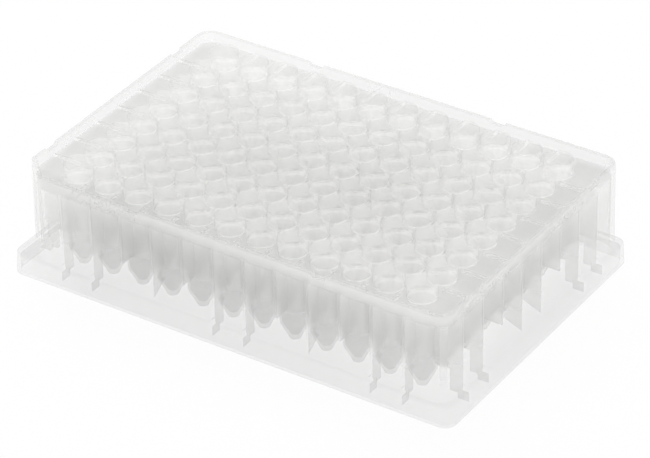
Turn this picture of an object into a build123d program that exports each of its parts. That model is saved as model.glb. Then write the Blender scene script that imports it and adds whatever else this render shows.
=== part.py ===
"""Deep-well storage plate: 96 round wells with conical bottoms, moulded in one piece.

Millimetres.  The origin is the centre of the footprint, on the surface the plate stands on.
+X runs along the long side from column 1 to column 12, +Y from row H to row A, +Z is up.
"""
import math
import os

from build123d import *

# Footprint and heights above the base
plate_length = 127.76
plate_width = 85.48
mouth_height = 30.7
rim_height = 29.5
deck_height = 26.6
flange_height = 5.5

# Flange skirt round the foot
flange_corner_radius = 3.2
flange_draft = 0.3
flange_wall = 1.1
ledge_thickness = 1.2

# Perimeter wall on the flange
wall_inset_x = 1.6
wall_inset_y = 1.4
wall_draft = 0.3
wall_thickness = 1.3
wall_corner_radius = 4.5
corner_cut = 7.0
rim_rounding = 0.4

# Short dips in the rim, counted in pitches from the middle of each side
notch_length = 5.4
notch_depth = 1.0
notch_run_in = 1.0
notch_pitches = 3

# Deck, and the low ridges on it between the outer wells and the wall
deck_thickness = 1.2
ridge_width = 1.0
ridge_height = 0.5
ridge_overlap = 2.9

# Wells.  Each round section is held by a ring of flats, and radii are measured to the flats.
columns = 12
rows = 8
well_pitch = 9.0
well_flats = 12
collar_radius = 3.9
body_radius = 3.8
body_foot_height = 6.6
body_tip_radius = 1.05
body_tip_height = 1.65
bore_radius = 3.4
bore_foot_height = 7.2
bore_tip_height = 3.0

# Webs between the outer wells and the wall, listed from a corner to the middle of a side
web_thickness = 1.0
web_bite = 0.3
pillar_foot_height = 3.0
pillar_reach = 3.6
pillar_shoulder_height = 9.0
gusset_foot_height = 5.0
gusset_well_height = 8.5
short_web_height = 12.0
long_side_webs = ("pillar", "pillar", "short", "gusset", "short", "pillar")
short_side_webs = ("pillar", "pillar", "short", "gusset")

# Stacking lugs under the pillars
lug_reach = 3.1
lug_foot_height = 1.6
lug_width = 1.4

# Sizes that follow
ledge_height = flange_height - ledge_thickness
deck_underside = deck_height - deck_thickness
wall_length = plate_length - 2 * wall_inset_x
wall_width = plate_width - 2 * wall_inset_y
wall_angle = math.degrees(math.atan2(wall_draft, rim_height - ledge_height))
flange_angle = math.degrees(math.atan2(flange_draft, flange_height))
clear_height = mouth_height - rim_height + 1.0


def skirt_block(shrink, height):
    """Drafted block inside the skirt's outer face, moved in by shrink."""
    outline = RectangleRounded(
        plate_length - 2 * shrink,
        plate_width - 2 * shrink,
        flange_corner_radius - shrink,
    )
    return extrude(outline, height, taper=flange_angle)


def wall_block(shrink, height):
    """Drafted block inside the wall's outer face, moved in by shrink, standing at the ledge."""
    length = wall_length - 2 * shrink
    width = wall_width - 2 * shrink
    cut = corner_cut - shrink * (2 - math.sqrt(2))
    outline = RectangleRounded(length, width, wall_corner_radius - shrink)
    outline -= Pos(-length / 2, -width / 2) * Rot(0, 0, 45) * Rectangle(math.sqrt(2) * cut, 2 * cut)
    return Pos(0, 0, ledge_height) * extrude(outline, height, taper=wall_angle)


def level_slab(bottom, top):
    """Slab over the whole footprint between two heights."""
    slab = Box(plate_length, plate_width, top - bottom, align=(Align.CENTER, Align.CENTER, Align.MIN))
    return Pos(0, 0, bottom) * slab


def housing():
    """Skirt, ledge, perimeter wall and deck."""
    wall = wall_block(0, rim_height - ledge_height)
    wall = fillet(wall.edges().group_by(Axis.Z)[-1], rim_rounding)
    shell = skirt_block(0, flange_height) + wall
    shell -= skirt_block(flange_wall, ledge_height)
    hollow = wall_block(wall_thickness, rim_height - ledge_height + clear_height)
    return shell - (hollow - level_slab(deck_underside, deck_height))


def round_the_plate(long_side, short_side):
    """Pieces made for the +Y side, put on both long sides and both short sides."""
    pieces = []
    for angle in (0, 180):
        pieces += [Rot(0, 0, angle) * piece for piece in long_side]
        pieces += [Rot(0, 0, angle - 90) * piece for piece in short_side]
    return pieces


def rim_notch(half_span):
    """Cutter for one dip, across the wall that stands half_span from the centre."""
    profile = Polygon(
        (-notch_length / 2, rim_height),
        (-notch_length / 2 + notch_run_in, rim_height - notch_depth),
        (notch_length / 2 - notch_run_in, rim_height - notch_depth),
        (notch_length / 2, rim_height),
        (notch_length / 2, rim_height + clear_height),
        (-notch_length / 2, rim_height + clear_height),
        align=None,
    )
    reach = 2 * (wall_thickness + wall_draft)
    cutter = extrude(Plane.XZ * profile, reach / 2, both=True)
    return Pos(0, half_span - reach / 4, 0) * cutter


def rim_notches():
    offset = notch_pitches * well_pitch
    long_side = [Pos(place, 0, 0) * rim_notch(wall_width / 2) for place in (-offset, offset)]
    short_side = [Pos(place, 0, 0) * rim_notch(wall_length / 2) for place in (-offset, offset)]
    return round_the_plate(long_side, short_side)


def ridge(half_span, well_line):
    """Low ridge on the deck, from between two outer wells to the wall on the +Y side."""
    start = well_line + ridge_overlap
    end = half_span - wall_thickness
    bar = Box(
        ridge_width,
        end - start,
        ridge_height + deck_thickness / 2,
        align=(Align.CENTER, Align.MIN, Align.MAX),
    )
    return Pos(0, start, deck_height + ridge_height) * bar


def web_profile(kind, half_span, well_line):
    """Outline of one web on the +Y side, as distance from the centre and height."""
    outer = half_span - wall_thickness + web_bite
    inner = well_line + body_radius - web_bite
    top = deck_height - deck_thickness / 2
    if kind == "pillar":
        leg = half_span - wall_thickness - pillar_reach
        return (
            (outer, top),
            (inner, top),
            (inner, pillar_shoulder_height),
            (leg, pillar_shoulder_height - (leg - inner)),
            (leg, pillar_foot_height),
            (outer, pillar_foot_height),
        )
    if kind == "gusset":
        return ((outer, top), (inner, top), (inner, gusset_well_height), (outer, gusset_foot_height))
    return ((outer, top), (inner, top), (inner, short_web_height), (outer, short_web_height))


def web(kind, half_span, well_line):
    profile = Plane.YZ * Polygon(*web_profile(kind, half_span, well_line), align=None)
    return extrude(profile, web_thickness / 2, both=True)


def lug(half_footprint):
    """Stacking lug inside the skirt on the +Y side."""
    outer = half_footprint - flange_wall
    stub = Box(
        lug_width,
        lug_reach,
        ledge_height + ledge_thickness / 2 - lug_foot_height,
        align=(Align.CENTER, Align.MAX, Align.MIN),
    )
    return Pos(0, outer, lug_foot_height) * stub


def side_fittings(count, kinds, half_span, half_footprint, well_line):
    """Webs, lugs and ridges along one side, made for the +Y side."""
    pieces = []
    start = -(count - 1) * well_pitch / 2
    for index in range(count):
        place = Pos(start + index * well_pitch, 0, 0)
        kind = kinds[min(index, count - 1 - index) % len(kinds)]
        pieces.append(place * web(kind, half_span, well_line))
        if kind == "pillar":
            pieces.append(place * lug(half_footprint))
    for index in range(1, count):
        place = Pos(start + (index - 0.5) * well_pitch, 0, 0)
        pieces.append(place * ridge(half_span, well_line))
    return pieces


def fittings():
    row_line = (rows - 1) * well_pitch / 2
    column_line = (columns - 1) * well_pitch / 2
    long_side = side_fittings(columns, long_side_webs, wall_width / 2, plate_width / 2, row_line)
    short_side = side_fittings(rows, short_side_webs, wall_length / 2, plate_length / 2, column_line)
    return round_the_plate(long_side, short_side)


def well_section(radius, height):
    turn = 180 / well_flats
    return Pos(0, 0, height) * RegularPolygon(radius, well_flats, major_radius=False, rotation=turn)


def well_tube(radius, low, high):
    return extrude(well_section(radius, low), high - low)


def well_cone(radius, foot, apex):
    """Cone that hangs from a well's foot and ends in a point."""
    return loft([well_section(radius, foot), Vertex(0, 0, apex)], ruled=True)


def well_body():
    """Outside of one well: collar, tube, and a cone with a flat tip."""
    rise = body_foot_height - body_tip_height
    apex = body_foot_height - rise * body_radius / (body_radius - body_tip_radius)
    cone = well_cone(body_radius, body_foot_height, apex) - level_slab(apex, body_tip_height)
    tube = well_tube(body_radius, body_foot_height, deck_height)
    return cone + tube + well_tube(collar_radius, deck_height - deck_thickness / 2, mouth_height)


def well_bore():
    """Inside of one well, down to a point."""
    tube = well_tube(bore_radius, bore_foot_height, mouth_height)
    return tube + well_cone(bore_radius, bore_foot_height, bore_tip_height)


def well_plate():
    grid = GridLocations(well_pitch, well_pitch, columns, rows)
    body = well_body()
    bore = well_bore()
    plate = housing() - rim_notches()
    plate += fittings()
    plate += [place * body for place in grid]
    plate -= [place * bore for place in grid]
    return plate


os.makedirs("parts", exist_ok=True)
export_step(well_plate(), "parts/well_plate.step")
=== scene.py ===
import math

import bpy
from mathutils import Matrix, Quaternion, Vector


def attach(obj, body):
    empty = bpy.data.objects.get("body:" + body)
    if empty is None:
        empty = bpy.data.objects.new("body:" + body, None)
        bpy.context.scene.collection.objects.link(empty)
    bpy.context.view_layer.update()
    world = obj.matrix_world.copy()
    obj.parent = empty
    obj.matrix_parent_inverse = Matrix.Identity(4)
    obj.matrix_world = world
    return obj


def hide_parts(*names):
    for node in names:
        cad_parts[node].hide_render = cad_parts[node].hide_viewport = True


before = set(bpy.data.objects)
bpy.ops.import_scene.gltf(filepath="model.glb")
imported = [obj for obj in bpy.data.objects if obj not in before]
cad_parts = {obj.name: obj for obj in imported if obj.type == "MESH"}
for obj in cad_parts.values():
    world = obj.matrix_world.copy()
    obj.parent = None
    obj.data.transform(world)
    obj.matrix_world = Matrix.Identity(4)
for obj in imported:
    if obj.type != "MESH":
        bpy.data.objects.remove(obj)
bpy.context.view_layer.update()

mm = 0.001
tiny = 1e-5  # metres; places nearer than this count as the same
alongAxis = 0.9  # a face looks along an axis when its normal's part there is over this


# small helpers

def deselectAll():
    if bpy.context.object and bpy.context.object.mode != "OBJECT":
        bpy.ops.object.mode_set(mode="OBJECT")
    bpy.ops.object.select_all(action="DESELECT")


def makeActive(piece):
    deselectAll()
    piece.select_set(True)
    bpy.context.view_layer.objects.active = piece


def pickNothing(mode):
    bpy.ops.object.mode_set(mode="EDIT")
    bpy.ops.mesh.select_mode(type=mode)
    bpy.ops.mesh.select_all(action="DESELECT")
    bpy.ops.object.mode_set(mode="OBJECT")


def pickFaces(piece, test):
    # leaves edit mode on, with only the faces that pass the test selected
    makeActive(piece)
    pickNothing("FACE")
    for face in piece.data.polygons:
        face.select = test(face.center, face.normal)
    bpy.ops.object.mode_set(mode="EDIT")


def pickEdges(piece, test):
    makeActive(piece)
    pickNothing("EDGE")
    points = [vertex.co for vertex in piece.data.vertices]
    for edge in piece.data.edges:
        edge.select = test(points[edge.vertices[0]], points[edge.vertices[1]])
    bpy.ops.object.mode_set(mode="EDIT")


def objectMode():
    bpy.ops.object.mode_set(mode="OBJECT")


def addCube(name, low, high):
    # low and high corner in millimetres
    deselectAll()
    size = [(b - a) * mm for a, b in zip(low, high)]
    middle = [(a + b) / 2 * mm for a, b in zip(low, high)]
    bpy.ops.mesh.primitive_cube_add(size=1, location=middle, scale=size)
    cube = bpy.context.object
    cube.name = name
    bpy.ops.object.transform_apply(location=True, rotation=True, scale=True)
    return cube


def copyOf(piece, angle, offset):
    # a turned copy with a mesh of its own, placed for good
    twin = piece.copy()
    twin.data = piece.data.copy()
    bpy.context.collection.objects.link(twin)
    makeActive(twin)
    twin.rotation_euler.z = math.radians(angle)
    twin.location = [value * mm for value in offset]
    bpy.ops.object.transform_apply(location=True, rotation=True, scale=True)
    return twin


def dropPiece(piece):
    mesh = piece.data
    bpy.data.objects.remove(piece, do_unlink=True)
    bpy.data.meshes.remove(mesh)


def joinAll(name, parts):
    deselectAll()
    for part in parts:
        part.select_set(True)
    bpy.context.view_layer.objects.active = parts[0]
    bpy.ops.object.join()
    parts[0].name = name
    return parts[0]


def combine(piece, other, how):
    # joins or cuts with a boolean, then drops the tool
    makeActive(piece)
    step = piece.modifiers.new(how.lower(), "BOOLEAN")
    step.operation = how
    step.solver = "MANIFOLD"
    step.object = other
    bpy.ops.object.modifier_apply(modifier=step.name)
    dropPiece(other)


def repeatAlong(piece, count, step):
    makeActive(piece)
    row = piece.modifiers.new("row", "ARRAY")
    row.count = count
    row.use_relative_offset = False
    row.use_constant_offset = True
    row.constant_offset_displace = step
    bpy.ops.object.modifier_apply(modifier="row")


# the housing: skirt, perimeter wall and deck

housingSizes = {
    "length": 127.76, "width": 85.48,
    "skirtHeight": 5.5, "skirtRadius": 3.2, "skirtDraft": 0.3, "skirtWall": 1.1, "ledge": 1.2,
    "insetX": 1.6, "insetY": 1.4, "wallDraft": 0.3, "wall": 1.3, "wallRadius": 4.5,
    "cornerSegments": 6, "cutCorner": 7.0,
    "cutInside": 0.586,  # the cut's leg is shorter inside, by this times the wall
    "rim": 29.5, "rimRound": 0.45, "rimSegments": 3,
    "rimEase": 0.12, "easeDrops": (0.4, 1.6),
    "deckTop": 26.6, "deck": 1.2, "throughBelow": 1.0,
    # the notch cutter goes in, out and up past the wall by the last three
    "notchLength": 5.4, "notchDepth": 1.0, "notchRunIn": 1.0, "notchPlace": 27.0,
    "notchIn": 2.2, "notchOut": 1.2, "notchUp": 0.8,
    "merge": 0.002, "smoothAngle": 32,
}


def draftedBlock(name, length, width, bottom, top, radius, draft, cut=None):
    block = addCube(name, (-length / 2, -width / 2, bottom), (length / 2, width / 2, top))
    isCut = lambda a: cut is not None and a.x < 0 and a.y < 0
    pickEdges(block, lambda a, b: abs(a.z - b.z) > tiny and not isCut(a))
    bpy.ops.mesh.bevel(offset=radius * mm, segments=housingSizes["cornerSegments"],
                       affect="EDGES")
    if cut is not None:
        corner = Vector((-length / 2 * mm, -width / 2 * mm, 0))
        near = lambda a: abs(a.x - corner.x) < tiny and abs(a.y - corner.y) < tiny
        pickEdges(block, lambda a, b: near(a) and near(b))
        bpy.ops.mesh.bevel(offset=cut * mm, segments=1, affect="EDGES")
        objectMode()
    pickFaces(block, lambda centre, normal: normal.z > alongAxis)
    bpy.ops.transform.resize(value=(1 - 2 * draft / length, 1 - 2 * draft / width, 1),
                             center_override=(0, 0, top * mm))
    objectMode()
    return block


def hollow(piece, wall, depth, facing, level, ease=0):
    # takes the top or bottom face in by the wall and pushes it into the block
    pickFaces(piece, lambda centre, normal: normal.z * facing > alongAxis
              and abs(centre.z - level * mm) < tiny)
    bpy.ops.mesh.inset(thickness=(wall - 2 * ease) * mm, depth=0, use_even_offset=True)
    for drop in housingSizes["easeDrops"] if ease else ():
        bpy.ops.mesh.inset(thickness=ease * mm, depth=-drop * ease * mm, use_even_offset=True)
    bpy.ops.mesh.extrude_region_move(
        TRANSFORM_OT_translate={"value": (0, 0, -facing * (depth - 2 * ease) * mm)})
    objectMode()


def rimNotches():
    s = housingSizes
    half = s["notchLength"] / 2
    notch = addCube("notch", (-half, -s["notchIn"], s["rim"] - s["notchDepth"]),
                    (half, s["notchOut"], s["rim"] + s["notchUp"]))
    pickFaces(notch, lambda centre, normal: normal.z < -alongAxis)
    bpy.ops.transform.resize(value=(1 - 2 * s["notchRunIn"] / s["notchLength"], 1, 1),
                             center_override=(0, 0, 0))
    objectMode()
    lineX, lineY = s["length"] / 2 - s["insetX"], s["width"] / 2 - s["insetY"]
    notches = []
    for place in (-s["notchPlace"], s["notchPlace"]):
        notches.append(copyOf(notch, 0, (place, lineY, 0)))
        notches.append(copyOf(notch, 180, (place, -lineY, 0)))
        notches.append(copyOf(notch, -90, (lineX, place, 0)))
        notches.append(copyOf(notch, 90, (-lineX, place, 0)))
    dropPiece(notch)
    return joinAll("notches", notches)


def buildHousing():
    s = housingSizes
    ledgeZ = s["skirtHeight"] - s["ledge"]
    skirt = draftedBlock("skirt", s["length"], s["width"], 0, s["skirtHeight"], s["skirtRadius"],
                         s["skirtDraft"])
    hollow(skirt, s["skirtWall"], ledgeZ, -1, 0)
    lengthX, widthY = s["length"] - 2 * s["insetX"], s["width"] - 2 * s["insetY"]
    through = draftedBlock("through", lengthX - 2 * s["wall"], widthY - 2 * s["wall"],
                           ledgeZ - s["throughBelow"], s["rim"], s["wallRadius"] - s["wall"],
                           s["wallDraft"], s["cutCorner"] - s["cutInside"] * s["wall"])
    combine(skirt, through, "DIFFERENCE")
    wall = draftedBlock("wall", lengthX, widthY, ledgeZ, s["rim"], s["wallRadius"], s["wallDraft"],
                        s["cutCorner"])
    pickFaces(wall, lambda centre, normal: normal.z > alongAxis)
    bpy.ops.mesh.region_to_loop()
    bpy.ops.mesh.bevel(offset=s["rimRound"] * mm, segments=s["rimSegments"], affect="EDGES")
    objectMode()
    hollow(wall, s["wall"] - s["rimRound"], s["rim"] - s["deckTop"], 1, s["rim"], s["rimEase"])
    hollow(wall, s["wall"], s["deckTop"] - s["deck"] - ledgeZ, -1, ledgeZ)
    combine(skirt, wall, "UNION")
    combine(skirt, rimNotches(), "DIFFERENCE")
    skirt.name = "wellPlate"
    return skirt


plate = buildHousing()
print("housing done,", len(plate.data.polygons), "faces")


# webs, stacking lugs and deck ridges round the outer wells

fittingSizes = {
    # bite and sink are how far webs, and lugs and ridges, run into the wall
    "web": 1.0, "bite": 0.3, "sink": 0.2, "legReach": 3.6, "legFoot": 3.0, "shoulder": 9.0,
    "gussetFoot": 5.0, "gussetWell": 8.5, "shortWeb": 12.0,
    "lugWidth": 1.4, "lugReach": 3.1, "lugFoot": 1.6,
    "ridge": 1.0, "ridgeHeight": 0.5, "ridgeOverlap": 2.9,
    "longSide": ("leg", "leg", "short", "gusset", "short", "leg"),
    "shortSide": ("leg", "leg", "short", "gusset"),
}
wellSizes = {
    "columns": 12, "rows": 8, "pitch": 9.0, "segments": 32,
    # radius and height up the outside, from the tip to the lip; the tube starts at row tubeFoot
    "tubeFoot": 5,
    "body": ((1.05, 1.65), (1.45, 1.9), (2.15, 3.45), (3.35, 5.75), (3.6, 6.3), (3.68, 6.9),
             (3.82, 23.0), (3.84, 28.3), (3.74, 28.45), (3.76, 29.65), (3.9, 29.8), (3.9, 30.45),
             (3.84, 30.62), (3.72, 30.7)),
    # radius and height up the inside, past the mouth
    "bore": ((0.8, 2.9), (1.2, 3.15), (2.9, 6.1), (3.14, 6.6), (3.2, 7.2), (3.44, 30.2),
             (3.48, 30.5), (3.58, 30.66), (3.68, 30.76)),
}


def web(kind, wallLine, wellLine):
    f, h = fittingSizes, housingSizes
    half = f["web"] / 2
    top = h["deckTop"] - h["deck"] / 2
    tubeRadius = wellSizes["body"][wellSizes["tubeFoot"]][0]
    outer, inner = wallLine + f["bite"], wellLine + tubeRadius - f["bite"]
    if kind == "leg":
        piece = addCube(kind, (-half, wallLine - f["legReach"], f["legFoot"]), (half, outer, top))
        makeActive(piece)
        bpy.ops.object.mode_set(mode="EDIT")
        bpy.ops.mesh.select_all(action="SELECT")
        bpy.ops.mesh.bisect(plane_co=(0, 0, f["shoulder"] * mm), plane_no=(0, 0, 1))
        pickFaces(piece, lambda centre, normal: normal.y < -alongAxis
                  and centre.z > f["shoulder"] * mm)
        bpy.ops.mesh.extrude_region_move(TRANSFORM_OT_translate={
            "value": (0, (inner - wallLine + f["legReach"]) * mm, 0)})
        objectMode()
        return piece
    foot = f["shortWeb"] if kind == "short" else f["gussetFoot"]
    piece = addCube(kind, (-half, inner, foot), (half, outer, top))
    if kind == "gusset":
        pickEdges(piece, lambda a, b: max(a.z, b.z) < foot * mm + tiny
                  and max(a.y, b.y) < inner * mm + tiny)
        bpy.ops.transform.translate(value=(0, 0, (f["gussetWell"] - foot) * mm))
        objectMode()
    return piece


def buildSide(count, kinds, wallLine, footLine, wellLine):
    # everything along one side, made for the side that faces +Y
    f, h, pitch = fittingSizes, housingSizes, wellSizes["pitch"]
    start = -(count - 1) * pitch / 2
    ledgeZ = h["skirtHeight"] - h["ledge"]
    webs, lugs = [], []
    skirtLine = footLine - h["skirtWall"]
    for index in range(count):
        x = start + index * pitch
        kind = kinds[min(index, count - 1 - index)]
        single = web(kind, wallLine, wellLine)
        webs.append(copyOf(single, 0, (x, 0, 0)))
        dropPiece(single)
        if kind == "leg":
            lugs.append(addCube("lug",
                                (x - f["lugWidth"] / 2, skirtLine - f["lugReach"], f["lugFoot"]),
                                (x + f["lugWidth"] / 2, skirtLine + f["sink"],
                                 ledgeZ + h["ledge"] / 2)))
    for index in range(1, count):
        x = start + (index - 0.5) * pitch
        webs.append(addCube("ridge", (x - f["ridge"] / 2, wellLine + f["ridgeOverlap"],
                                      h["deckTop"] - h["deck"] / 2),
                            (x + f["ridge"] / 2, wallLine + f["sink"],
                             h["deckTop"] + f["ridgeHeight"])))
    return joinAll("webs", webs), joinAll("lugs", lugs)


def addFittings():
    h, w = housingSizes, wellSizes
    rowLine, columnLine = (w["rows"] - 1) * w["pitch"] / 2, (w["columns"] - 1) * w["pitch"] / 2
    footX, footY = h["length"] / 2, h["width"] / 2
    wallX, wallY = footX - h["insetX"] - h["wall"], footY - h["insetY"] - h["wall"]
    longWebs, longLugs = buildSide(w["columns"], fittingSizes["longSide"], wallY, footY, rowLine)
    shortWebs, shortLugs = buildSide(w["rows"], fittingSizes["shortSide"], wallX, footX,
                                     columnLine)
    for long, short in ((longWebs, shortWebs), (longLugs, shortLugs)):
        around = [copyOf(long, 0, (0, 0, 0)), copyOf(long, 180, (0, 0, 0)),
                  copyOf(short, -90, (0, 0, 0)), copyOf(short, 90, (0, 0, 0))]
        dropPiece(long)
        dropPiece(short)
        combine(plate, joinAll("around", around), "UNION")


addFittings()
print("fittings done,", len(plate.data.polygons), "faces")


# the wells

def turnedSolid(name, profile):
    deselectAll()
    radius, height = profile[0]
    bpy.ops.mesh.primitive_circle_add(vertices=wellSizes["segments"], radius=radius * mm,
                                      location=(0, 0, height * mm))
    solid = bpy.context.object
    solid.name = name
    bpy.ops.object.transform_apply(location=True, rotation=True, scale=True)
    bpy.ops.object.mode_set(mode="EDIT")
    bpy.ops.mesh.select_mode(type="EDGE")
    bpy.ops.mesh.select_all(action="SELECT")
    for nextRadius, nextHeight in profile[1:]:
        bpy.ops.mesh.extrude_region_move(
            TRANSFORM_OT_translate={"value": (0, 0, (nextHeight - height) * mm)})
        bpy.ops.transform.resize(value=(nextRadius / radius, nextRadius / radius, 1),
                                 center_override=(0, 0, 0))
        radius, height = nextRadius, nextHeight
    bpy.ops.mesh.select_all(action="SELECT")
    bpy.ops.mesh.fill_holes(sides=0)
    bpy.ops.mesh.select_all(action="SELECT")
    bpy.ops.mesh.normals_make_consistent(inside=False)
    objectMode()
    return solid


def grid(solid):
    w = wellSizes
    first = (-(w["columns"] - 1) * w["pitch"] / 2, -(w["rows"] - 1) * w["pitch"] / 2, 0)
    placed = copyOf(solid, 0, first)
    dropPiece(solid)
    repeatAlong(placed, w["columns"], (w["pitch"] * mm, 0, 0))
    repeatAlong(placed, w["rows"], (0, w["pitch"] * mm, 0))
    return placed


combine(plate, grid(turnedSolid("wellBody", wellSizes["body"])), "UNION")
print("well bodies done,", len(plate.data.polygons), "faces")
combine(plate, grid(turnedSolid("wellBore", wellSizes["bore"])), "DIFFERENCE")
print("well bores done,", len(plate.data.polygons), "faces")


def finishMesh(piece):
    makeActive(piece)
    bpy.ops.object.mode_set(mode="EDIT")
    bpy.ops.mesh.select_all(action="SELECT")
    bpy.ops.mesh.remove_doubles(threshold=housingSizes["merge"] * mm)
    objectMode()
    bpy.ops.object.shade_smooth_by_angle(angle=math.radians(housingSizes["smoothAngle"]))


finishMesh(plate)
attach(plate, "root")
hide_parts("well_plate")


# the plastic: natural polypropylene, milky, so that each wall veils what lies behind it

plasticLook = {
    "milk": (0.975, 0.975, 0.968, 1.0), "milkCloud": (0.95, 0.95, 0.943, 1.0),
    "cloudScale": 45.0, "throughLight": 0.8,
    "roughness": (0.24, 0.36), "ior": 1.49,
    "grainScale": 1400.0, "grain": 0.12, "grainDepth": 0.00002,
    "noiseRange": (0.3, 0.7),  # where most of a noise's values lie
    "veil": 0.175, "rimFrom": 26.0, "rimVeil": 1.5,
    # inside the wall, and clear of it by the margin, the veil is multiplied by these from height
    # to height: the foot and the cones, the crowd of tubes, the thick deck, the thin collars
    "innerMargin": 0.4, "veilMost": 4.0,
    "veilByHeight": ((0.0, 1.0), (8.0, 1.0), (14.0, 2.0), (25.3, 2.2), (25.4, 2.8), (26.65, 2.8),
                     (26.75, 1.2), (30.7, 1.2)),
}


def wallFactor(nodes, links, place):
    # what the veil is multiplied by, from the height and from being inside the perimeter wall
    h, look = housingSizes, plasticLook
    halfLength = h["length"] / 2 - h["insetX"] - h["wall"] - look["innerMargin"]
    halfWidth = h["width"] / 2 - h["insetY"] - h["wall"] - look["innerMargin"]
    split = nodes.new("ShaderNodeSeparateXYZ")
    links.new(place, split.inputs["Vector"])
    inside = None
    for axis, limit in (("X", halfLength), ("Y", halfWidth)):
        size = nodes.new("ShaderNodeMath")
        size.operation = "ABSOLUTE"
        links.new(split.outputs[axis], size.inputs[0])
        within = nodes.new("ShaderNodeMath")
        within.operation = "LESS_THAN"
        within.inputs[1].default_value = limit * mm
        links.new(size.outputs["Value"], within.inputs[0])
        inside = product(nodes, links, inside, within.outputs["Value"])
    mouth = wellSizes["body"][-1][1]
    height = nodes.new("ShaderNodeMapRange")
    height.inputs["From Max"].default_value = mouth * mm
    links.new(split.outputs["Z"], height.inputs["Value"])
    ramp = nodes.new("ShaderNodeValToRGB")
    links.new(height.outputs["Result"], ramp.inputs["Fac"])
    steps = ramp.color_ramp.elements
    steps.remove(steps[1])
    for level, strength in look["veilByHeight"]:
        step = steps.new(level / mouth) if level else steps[0]
        step.color = (strength / look["veilMost"],) * 3 + (1.0,)
    factor = nodes.new("ShaderNodeMapRange")
    factor.inputs["To Max"].default_value = look["veilMost"]
    links.new(ramp.outputs["Color"], factor.inputs["Value"])
    rim = nodes.new("ShaderNodeMapRange")  # the top of the wall is milky too
    rim.inputs["From Min"].default_value = look["rimFrom"] * mm
    rim.inputs["From Max"].default_value = h["deckTop"] * mm
    rim.inputs["To Min"].default_value = 1.0
    rim.inputs["To Max"].default_value = look["rimVeil"]
    links.new(split.outputs["Z"], rim.inputs["Value"])
    blend = nodes.new("ShaderNodeMix")
    links.new(rim.outputs["Result"], blend.inputs["A"])
    links.new(inside, blend.inputs["Factor"])
    links.new(factor.outputs["Result"], blend.inputs["B"])
    return blend.outputs["Result"]


def product(nodes, links, one, other):
    if one is None:
        return other
    node = nodes.new("ShaderNodeMath")
    node.operation = "MULTIPLY"
    links.new(one, node.inputs[0])
    links.new(other, node.inputs[1])
    return node.outputs["Value"]


def makePlastic():
    look = plasticLook
    material = bpy.data.materials.new("polypropylene")
    material.use_nodes = True
    nodes, links = material.node_tree.nodes, material.node_tree.links
    place = nodes.new("ShaderNodeTexCoord").outputs["Object"]

    def noise(scale):
        node = nodes.new("ShaderNodeTexNoise")
        node.inputs["Scale"].default_value = scale
        node.inputs["Detail"].default_value = 0.0
        links.new(place, node.inputs["Vector"])
        return node.outputs["Fac"]

    def spread(value, low, high):
        node = nodes.new("ShaderNodeMapRange")
        node.inputs["From Min"].default_value = look["noiseRange"][0]
        node.inputs["From Max"].default_value = look["noiseRange"][1]
        node.inputs["To Min"].default_value = low
        node.inputs["To Max"].default_value = high
        links.new(value, node.inputs["Value"])
        return node.outputs["Result"]

    cloud = nodes.new("ShaderNodeMix")  # thicker and thinner flow of the melt
    cloud.data_type = "RGBA"
    cloud.inputs["A"].default_value = look["milk"]
    cloud.inputs["B"].default_value = look["milkCloud"]
    links.new(spread(noise(look["cloudScale"]), 0.0, 1.0), cloud.inputs["Factor"])
    grain = nodes.new("ShaderNodeBump")  # faint grain of the mould
    grain.inputs["Strength"].default_value = look["grain"]
    grain.inputs["Distance"].default_value = look["grainDepth"]
    fine = noise(look["grainScale"])
    links.new(fine, grain.inputs["Height"])

    shader = nodes["Principled BSDF"]
    shader.inputs["IOR"].default_value = look["ior"]
    links.new(cloud.outputs["Result"], shader.inputs["Base Color"])
    links.new(spread(fine, *look["roughness"]), shader.inputs["Roughness"])
    links.new(grain.outputs["Normal"], shader.inputs["Normal"])
    glow = nodes.new("ShaderNodeBsdfTranslucent")
    links.new(cloud.outputs["Result"], glow.inputs["Color"])
    milk = nodes.new("ShaderNodeMixShader")
    milk.inputs["Fac"].default_value = look["throughLight"]
    links.new(shader.outputs["BSDF"], milk.inputs[1])
    links.new(glow.outputs["BSDF"], milk.inputs[2])

    veil = nodes.new("ShaderNodeMath")  # how much of what lies behind a wall it hides
    veil.operation = "MULTIPLY"
    veil.inputs[1].default_value = look["veil"]
    links.new(wallFactor(nodes, links, place), veil.inputs[0])
    clear = nodes.new("ShaderNodeBsdfTransparent")
    surface = nodes.new("ShaderNodeMixShader")
    links.new(veil.outputs["Value"], surface.inputs["Fac"])
    links.new(clear.outputs["BSDF"], surface.inputs[1])
    links.new(milk.outputs["Shader"], surface.inputs[2])
    links.new(surface.outputs["Shader"], nodes["Material Output"].inputs["Surface"])
    return material


plate.data.materials.clear()
plate.data.materials.append(makePlastic())
cycles = bpy.context.scene.cycles
cycles.transparent_max_bounces = 18  # many thin walls stand one behind another
cycles.max_bounces = 6
cycles.diffuse_bounces = 2
cycles.light_sampling_threshold = 0.1


# floor, light and camera

stageLook = {
    "floorSize": 6.0, "floor": (0.93, 0.93, 0.93, 1.0), "floorWhite": 0.95,
    "floorRoughness": 0.9, "floorSpecular": 0.1, "world": 0.75,
    "lamps": (
        # name, place, size, watts
        ("keyLamp", (-0.9, 0.9, 1.3), 1.2, 12.0),
        ("fillLamp", (0.9, -1.0, 0.9), 1.4, 3.0),
    ),
}
# angles in degrees, aim in millimetres, distance and clipping in metres
cameraLook = {
    "azimuth": 33.828, "elevation": 33.085, "roll": -1.18,
    "aim": (2.2227, -0.9440, 11.897), "distance": 0.88906,
    "lens": 199.65, "sensorWidth": 36, "clip": (0.05, 20),
}


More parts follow.
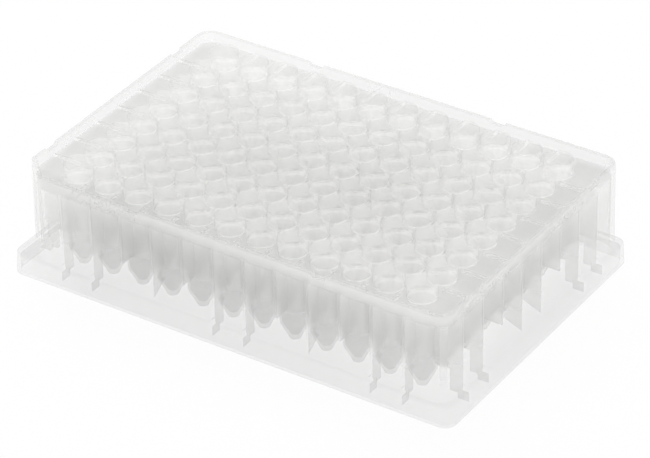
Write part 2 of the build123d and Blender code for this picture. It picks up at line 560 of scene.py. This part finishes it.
def seenRay(nodes, links, path):
    # 1 for what the camera sees straight, in a reflection or through clear plastic
    value = path.outputs["Is Camera Ray"]
    for other in ("Is Glossy Ray", "Is Transmission Ray"):
        either = nodes.new("ShaderNodeMath")
        either.operation = "MAXIMUM"
        links.new(value, either.inputs[0])
        links.new(path.outputs[other], either.inputs[1])
        value = either.outputs[0]
    return value


def makeFloor():
    look = stageLook
    deselectAll()
    bpy.ops.mesh.primitive_plane_add(size=look["floorSize"], location=(0, 0, 0))
    floor = bpy.context.object
    floor.name = "floor"
    material = bpy.data.materials.new("floorPaint")
    material.use_nodes = True
    nodes, links = material.node_tree.nodes, material.node_tree.links
    paint = nodes["Principled BSDF"]
    paint.inputs["Base Color"].default_value = look["floor"]
    paint.inputs["Roughness"].default_value = look["floorRoughness"]
    paint.inputs["Specular IOR Level"].default_value = look["floorSpecular"]
    white = nodes.new("ShaderNodeEmission")
    path = nodes.new("ShaderNodeLightPath")
    seen = nodes.new("ShaderNodeMath")  # the camera sees mostly white, with a faint shadow
    seen.operation = "MULTIPLY"
    seen.inputs[1].default_value = look["floorWhite"]
    links.new(seenRay(nodes, links, path), seen.inputs[0])
    blend = nodes.new("ShaderNodeMixShader")
    links.new(seen.outputs[0], blend.inputs["Fac"])
    links.new(paint.outputs["BSDF"], blend.inputs[1])
    links.new(white.outputs[0], blend.inputs[2])
    links.new(blend.outputs[0], nodes["Material Output"].inputs["Surface"])
    floor.data.materials.append(material)


def makeWorld():
    world = bpy.data.worlds.new("studio")
    bpy.context.scene.world = world
    world.use_nodes = True
    nodes, links = world.node_tree.nodes, world.node_tree.links
    nodes.clear()
    soft = nodes.new("ShaderNodeBackground")
    soft.inputs["Color"].default_value = (1, 1, 1, 1)
    soft.inputs["Strength"].default_value = stageLook["world"]
    white = nodes.new("ShaderNodeBackground")
    white.inputs["Color"].default_value = (1, 1, 1, 1)
    white.inputs["Strength"].default_value = 1.0
    path = nodes.new("ShaderNodeLightPath")
    blend = nodes.new("ShaderNodeMixShader")
    links.new(seenRay(nodes, links, path), blend.inputs["Fac"])
    links.new(soft.outputs[0], blend.inputs[1])
    links.new(white.outputs[0], blend.inputs[2])
    output = nodes.new("ShaderNodeOutputWorld")
    links.new(blend.outputs[0], output.inputs["Surface"])


def makeLamps():
    for name, place, size, watts in stageLook["lamps"]:
        light = bpy.data.lights.new(name, "AREA")
        light.shape = "DISK"
        light.size = size
        light.energy = watts
        lamp = bpy.data.objects.new(name, light)
        bpy.context.collection.objects.link(lamp)
        lamp.location = place
        lamp.rotation_mode = "QUATERNION"
        lamp.rotation_quaternion = Vector(place).to_track_quat("Z", "Y")


def makeCamera():
    # the long lens looks down on the corner at column 12, row H
    look = cameraLook
    azimuth, elevation = math.radians(look["azimuth"]), math.radians(look["elevation"])
    back = Vector((math.sin(azimuth) * math.cos(elevation),
                   -math.cos(azimuth) * math.cos(elevation), math.sin(elevation)))
    lens = bpy.data.cameras.new("camera")
    lens.sensor_width = look["sensorWidth"]
    lens.lens = look["lens"]
    lens.clip_start, lens.clip_end = look["clip"]
    camera = bpy.data.objects.new("camera", lens)
    bpy.context.collection.objects.link(camera)
    camera.location = Vector(look["aim"]) * mm + back * look["distance"]
    camera.rotation_mode = "QUATERNION"
    roll = Quaternion((0, 0, 1), math.radians(look["roll"]))
    camera.rotation_quaternion = back.to_track_quat("Z", "Y") @ roll
    bpy.context.scene.camera = camera


makeFloor()
makeWorld()
makeLamps()
makeCamera()
bpy.context.scene.view_settings.view_transform = "Standard"
print("stage done")
